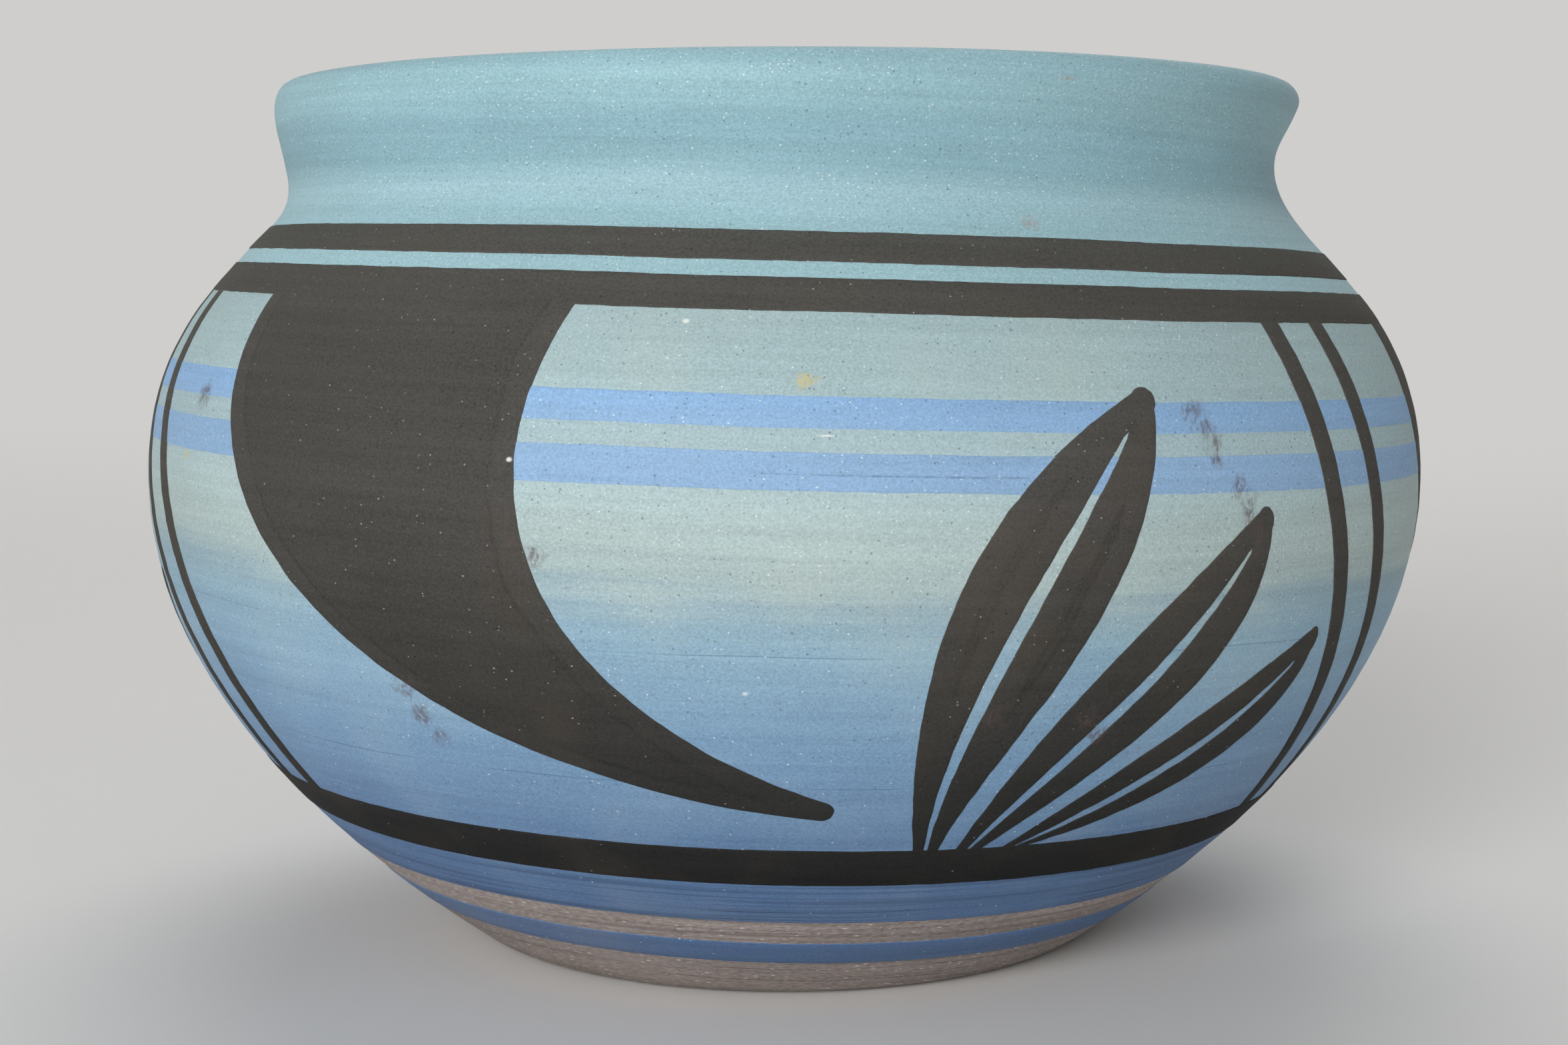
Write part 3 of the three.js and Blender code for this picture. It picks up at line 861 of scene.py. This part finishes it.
def ringSheet(name, ring):
    low, high = ring["low"], ring["high"]
    lowEased, highEased = ring.get("eased", (True, True))
    gap = ringShape["lipGap"] if high > wallLengths[crestIndex] else ringShape["gap"]
    steps, heights = np.array(ringShape["easeSteps"]), np.array(ringShape["easeHeights"])
    rowCount = max(ringShape["leastRows"], math.ceil((high - low) / gap))
    inner = np.linspace(low + steps[-1], high - steps[-1], rowCount)[1:-1]
    lengths = np.concatenate([low + steps, inner, (high - steps)[::-1]])
    lowHeights = heights if lowEased else heights * 0 + 1
    highHeights = heights[::-1] if highEased else heights * 0 + 1
    crown = np.concatenate([lowHeights, inner * 0 + 1, highHeights])
    film = ring["film"]
    loop = [(y, film["base"]) for y in lengths[::-1]]
    loop += [(y, film["base"] + (film["top"] - film["base"]) * h) for y, h in zip(lengths, crown)]
    count, rows = ringShape["segments"], len(loop)
    girth = 2 * math.pi * wallShape["belly"][0]
    points = np.array([(i / count * girth, y, h) for i in range(count) for y, h in loop]) * mm
    faces = []
    for i in range(count):
        here, there = i * rows, (i + 1) % count * rows
        for k in range(rows):
            ahead = (k + 1) % rows
            faces.append((here + k, there + k, there + ahead, here + ahead))
    return sheetFrom(name, points, faces)


for ringName, ring in paintRings.items():
    wrapPiece(ringName, ringSheet(ringName, ring), [ring["node"]], ring["paint"],
              edgeWobble=ringShape["edgeWobble"], seed=ringShape["seed"])
print("paint rings made:", len(paintRings))


# brush figures: both edges as four points of a curve, degrees round the vase and rise between the bands
figureStart = -54.0
figureRepeats = 3
figureBands = (22.95, 79.2)  # heights of the base band's top and the shoulder band's foot
figureFilm = {
    "base": 0.02,
    "top": 0.18,
    "lap": 1.3,  # how far a stroke runs on under a band
    "rows": 72,
    "gap": 1.4,
    "leastColumns": 5,
    "ease": (0.0, 0.07, 0.22),
    "easeShare": 0.3,  # of the width at most
    "crown": (0.35, 0.8, 1.0),
    "tipTurns": (20, 40, 58, 72, 82),  # degrees round a tip, for its rows
    "tipCrown": (0.35, 0.7, 0.9),  # from the last row back
    "joint": 0.002,  # vanes that come closer are one
    "edgeWobble": 0.22,
}
quill = {"width": 1.6, "endWidth": 0.35, "closes": 0.86}  # bare line between the vanes of a feather
brushFigures = {
    "wings": {
        "left": [(2, 1), (3, 0.46), (26, 0.14), (57, 0.07)],
        "right": [(37, 1), (30, 0.62), (36, 0.27), (57.5, 0.11)],
        "nodes": ["wing"], "ends": "tip", "seed": 5.0},
    "tallFeathers": {
        "left": [(66, 0), (62, 0.34), (66, 0.7), (81, 0.87)],
        "right": [(68.5, 0), (71, 0.24), (82, 0.52), (82.8, 0.84)],
        "nodes": ["tall_feather_left", "tall_feather_right"], "ends": "tip", "seed": 6.0},
    "middleFeathers": {
        "left": [(70.5, 0), (73.5, 0.21), (80, 0.45), (92.5, 0.65)],
        "right": [(73.2, 0), (80, 0.13), (94, 0.36), (94, 0.615)],
        "nodes": ["middle_feather_left", "middle_feather_right"], "ends": "tip", "seed": 7.0},
    "lowFeathers": {
        "left": [(75.2, 0), (82, 0.12), (90, 0.27), (102, 0.41)],
        "right": [(78, 0), (87, 0.05), (102, 0.16), (103, 0.365)],
        "nodes": ["low_feather_left", "low_feather_right"], "ends": "tip", "seed": 8.0},
    "leftReeds": {
        "left": [(97.5, 1), (99, 0.72), (107, 0.34), (110.5, 0)],
        "right": [(100, 1), (101.5, 0.72), (109.5, 0.34), (113, 0)],
        "nodes": ["left_reed"], "ends": "band", "seed": 9.0},
    "rightReeds": {
        "left": [(105, 1), (106.5, 0.72), (114.5, 0.34), (118, 0)],
        "right": [(107.5, 1), (109, 0.72), (117, 0.34), (120.5, 0)],
        "nodes": ["right_reed"], "ends": "band", "seed": 10.0},
}


# an edge of a figure on the unrolled wall, in mm round it and along its section
def edgeLine(corners, rows):
    line = curvePoints(np.array(corners, float), np.linspace(0, 1, rows)[:, None])
    across = np.radians(line[:, 0] + figureStart) * wallShape["belly"][0]
    low, high = figureBands
    return np.stack([across, lengthAt(low + (high - low) * line[:, 1])], axis=1)


def unit(vectors):
    return vectors / np.linalg.norm(vectors, axis=-1, keepdims=True)


# an edge with one more point, straight on under a band
def runOn(edge):
    return np.vstack([edge, edge[-1] + unit(edge[-1] - edge[-2]) * figureFilm["lap"]])


# a stroke starts under a band and runs on under another one, or ends in a rounded tip
def strokeRows(left, right, ends):
    left, right = (runOn(edge[::-1])[::-1] for edge in (left, right))
    if ends == "band":
        return runOn(left), runOn(right)
    middle, half = (left[-1] + right[-1]) / 2, (right[-1] - left[-1]) / 2
    ahead = unit(left[-1] - left[-2] + right[-1] - right[-2]) * np.linalg.norm(half)
    turns = np.radians(figureFilm["tipTurns"])[:, None]
    left = np.vstack([left, middle - half * np.cos(turns) + ahead * np.sin(turns)])
    right = np.vstack([right, middle + half * np.cos(turns) + ahead * np.sin(turns)])
    return left, right


# a strip of film between two rows of points; each edge is eased in the rows where it is open
def addStroke(sheet, left, right, ends, leftOpen, rightOpen):
    heightLayer, edgeLayer = sheet.verts.layers.float["crown"], sheet.verts.layers.float["brushEdge"]
    widths = np.linalg.norm(right - left, axis=1)
    columns = max(figureFilm["leastColumns"], math.ceil(widths.max() / figureFilm["gap"]))
    ease, crown = np.array(figureFilm["ease"]), np.array(figureFilm["crown"])
    tipCrown = figureFilm["tipCrown"] if ends == "tip" else ()
    corners = []
    for i in range(len(left)):
        rim = np.minimum(ease / widths[i], ease / ease[-1] * figureFilm["easeShare"])
        shares = np.concatenate([rim, np.linspace(rim[-1], 1 - rim[-1], columns)[1:-1], (1 - rim)[::-1]])
        leftCrown = crown if leftOpen[i] else crown * 0 + 1
        rightCrown = crown[::-1] if rightOpen[i] else crown * 0 + 1
        heights = np.concatenate([leftCrown, np.ones(columns - 2), rightCrown])
        fromTip = len(left) - 1 - i
        if fromTip < len(tipCrown):
            heights = np.minimum(heights, tipCrown[fromTip])
        row = []
        for share, height in zip(shares, heights):
            x, y = left[i] + (right[i] - left[i]) * share
            corner = sheet.verts.new((x * mm, y * mm, figureFilm["base"] * mm))
            corner[heightLayer] = height
            fromLeft = share * widths[i] if leftOpen[i] else widths[i]
            fromRight = (1 - share) * widths[i] if rightOpen[i] else widths[i]
            corner[edgeLayer] = min(fromLeft, fromRight)
            row.append(corner)
        corners.append(row)
    for here, there in zip(corners, corners[1:]):
        for k in range(len(here) - 1):
            sheet.faces.new((here[k], here[k + 1], there[k + 1], there[k]))


# puts corners or faces in order of their place, because extruding leaves them in no fixed one
def putInOrder(parts, placeOf):
    for index, part in enumerate(sorted(parts, key=lambda part: placeOf(part)[:])):
        part.index = index
    parts.sort()


# width of the bare quill line in each row: it narrows to both ends and closes before the tip
def quillWidths(count):
    share = np.linspace(0, 1, count) / quill["closes"]
    widths = quill["endWidth"] + (quill["width"] - quill["endWidth"]) * np.sin(math.pi * np.minimum(share, 1))
    return np.where(share < 1, widths, 0)


def figureSheet(name, figure):
    sheet = bmesh.new()
    for layer in ("crown", "brushEdge"):
        sheet.verts.layers.float.new(layer)
    left, right = (edgeLine(figure[side], figureFilm["rows"]) for side in ("left", "right"))
    left, right = strokeRows(left, right, figure["ends"])
    opened = np.ones(len(left), bool)
    if len(figure["nodes"]) == 2:  # the vanes of a feather
        widths = quillWidths(len(left))
        middle, half = (left + right) / 2, unit(right - left) * widths[:, None] / 2
        addStroke(sheet, left, middle - half, figure["ends"], opened, widths > 0)
        addStroke(sheet, middle + half, right, figure["ends"], widths > 0, opened)
        bmesh.ops.remove_doubles(sheet, verts=sheet.verts[:], dist=figureFilm["joint"] * mm)
    else:
        addStroke(sheet, left, right, figure["ends"], opened, opened)
    grown = bmesh.ops.extrude_face_region(sheet, geom=sheet.faces[:], use_keep_orig=True)["geom"]
    heightLayer = sheet.verts.layers.float["crown"]
    thickness = (figureFilm["top"] - figureFilm["base"]) * mm
    for part in grown:
        if isinstance(part, bmesh.types.BMVert):
            part.co.z += thickness * part[heightLayer]
    bmesh.ops.recalc_face_normals(sheet, faces=sheet.faces[:])
    putInOrder(sheet.verts, lambda corner: corner.co)
    putInOrder(sheet.faces, lambda face: face.calc_center_median())
    mesh = bpy.data.meshes.new(name)
    sheet.to_mesh(mesh)
    sheet.free()
    return mesh


for figureName, figure in brushFigures.items():
    nodes = [f"{node}_{i + 1}" for node in figure["nodes"] for i in range(figureRepeats)]
    wrapPiece(figureName, figureSheet(figureName, figure), nodes, darkPaint,
              repeats=figureRepeats, edgeWobble=figureFilm["edgeWobble"], seed=figure["seed"])
bpy.data.objects.remove(wallProfile)
print("brush figures made:", len(brushFigures))


# floor and backdrop in one sweep, all the way round
studio = {
    "floorRadius": 1.6,
    "floorDrop": 0.0001,  # the floor lies just under the foot
    "bend": 0.7,
    "bendRows": 25,
    "top": 2.8,
    "segments": 96,
    "colour": (241, 240, 238),
    "roughness": 0.9,
    "farColour": (207, 206, 204),  # even tone that the ground is seen to fade into
    "fade": (0.35, 1.3),  # metres from the vase
}


# matte paper; what is seen of it far from the vase has one even tone, whatever the light on it
def backdropFinish(room):
    material, tree, shader = newMaterial("backdrop")
    shader.inputs["Base Color"].default_value = rgba(room["colour"])
    shader.inputs["Roughness"].default_value = room["roughness"]
    ray = addNode(tree, "ShaderNodeLightPath").outputs
    seen = calc(tree, "MAXIMUM", ray["Is Camera Ray"], ray["Is Glossy Ray"])
    seen = calc(tree, "MAXIMUM", seen, ray["Is Transmission Ray"])
    away = vectorCalc(tree, "LENGTH", addNode(tree, "ShaderNodeTexCoord").outputs["Object"])
    near, far = room["fade"]
    share = times(tree, seen, remap(tree, away, near, far, 0.0, 1.0, True))
    tone = addNode(tree, "ShaderNodeEmission", {"Color": rgba(room["farColour"])})
    blend = addNode(tree, "ShaderNodeMixShader", (share, shader.outputs[0], tone.outputs[0]))
    feed(tree, tree.nodes["Material Output"].inputs["Surface"], blend.outputs[0])
    return material


def addStudio(room):
    start, bend = room["floorRadius"], room["bend"]
    slopes = np.radians(np.linspace(0, 90, room["bendRows"]))
    line = [(start + bend * math.sin(t), bend * (1 - math.cos(t))) for t in slopes]
    line.append((start + bend, room["top"]))
    count = room["segments"]
    turns = np.arange(count) / count * 2 * math.pi
    points = [(r * math.cos(t), r * math.sin(t), z - room["floorDrop"]) for r, z in line for t in turns]
    faces = [tuple(range(count))]
    for k in range(len(line) - 1):
        for i in range(count):
            j = (i + 1) % count
            faces.append((k * count + i, (k + 1) * count + i, (k + 1) * count + j, k * count + j))
    mesh = sheetFrom("backdrop", np.array(points), faces)
    mesh.shade_smooth()
    mesh.materials.append(backdropFinish(room))
    backdrop = addObject("backdrop", mesh)


addStudio(studio)

# lights: a soft key from the front left, a weak fill, one behind, two on the backdrop and an even sky
lamps = {
    "key": {"place": (-0.45, -1.25, 0.45), "target": (0, 0, 0.06), "size": 0.6, "spread": 80, "power": 2.65},
    "fill": {"place": (1.2, -0.7, 0.4), "target": (0, 0, 0.06), "size": 1.2, "spread": 180, "power": 0.2},
    "back": {"place": (0.2, 1.3, 1.2), "target": (0, 0, 0.05), "size": 1.4, "spread": 180, "power": 3.0},
    "farWall": {"place": (0, 1.0, 2.0), "target": (0, 1.5, 0.2), "size": 1.8, "spread": 180, "power": 13.5},
    "nearWall": {"place": (0, -1.2, 2.0), "target": (0, -2.3, 0.4), "size": 1.6, "spread": 180, "power": 3.0},
}
skyColour = (235, 238, 242)
skyStrength = 0.1


def addLamp(name, lamp):
    data = bpy.data.lights.new(name, "AREA")
    data.shape = "DISK"
    data.size = lamp["size"]
    data.spread = math.radians(lamp["spread"])
    data.energy = lamp["power"]
    light = addObject(name, data)
    light.location = lamp["place"]
    light.visible_camera = False
    aim = np.array(lamp["target"]) - np.array(lamp["place"])
    flat = math.hypot(aim[0], aim[1])
    light.rotation_euler = (math.atan2(flat, -aim[2]), 0, math.atan2(aim[1], aim[0]) - math.pi / 2)


for lampName, lamp in lamps.items():
    addLamp(lampName, lamp)
world = bpy.data.worlds.new("sky")
world.use_nodes = True
sky = world.node_tree.nodes["Background"].inputs
sky["Color"].default_value = rgba(skyColour)
sky["Strength"].default_value = skyStrength
scene.world = world
scene.view_settings.view_transform = "Standard"
print("stage lit")
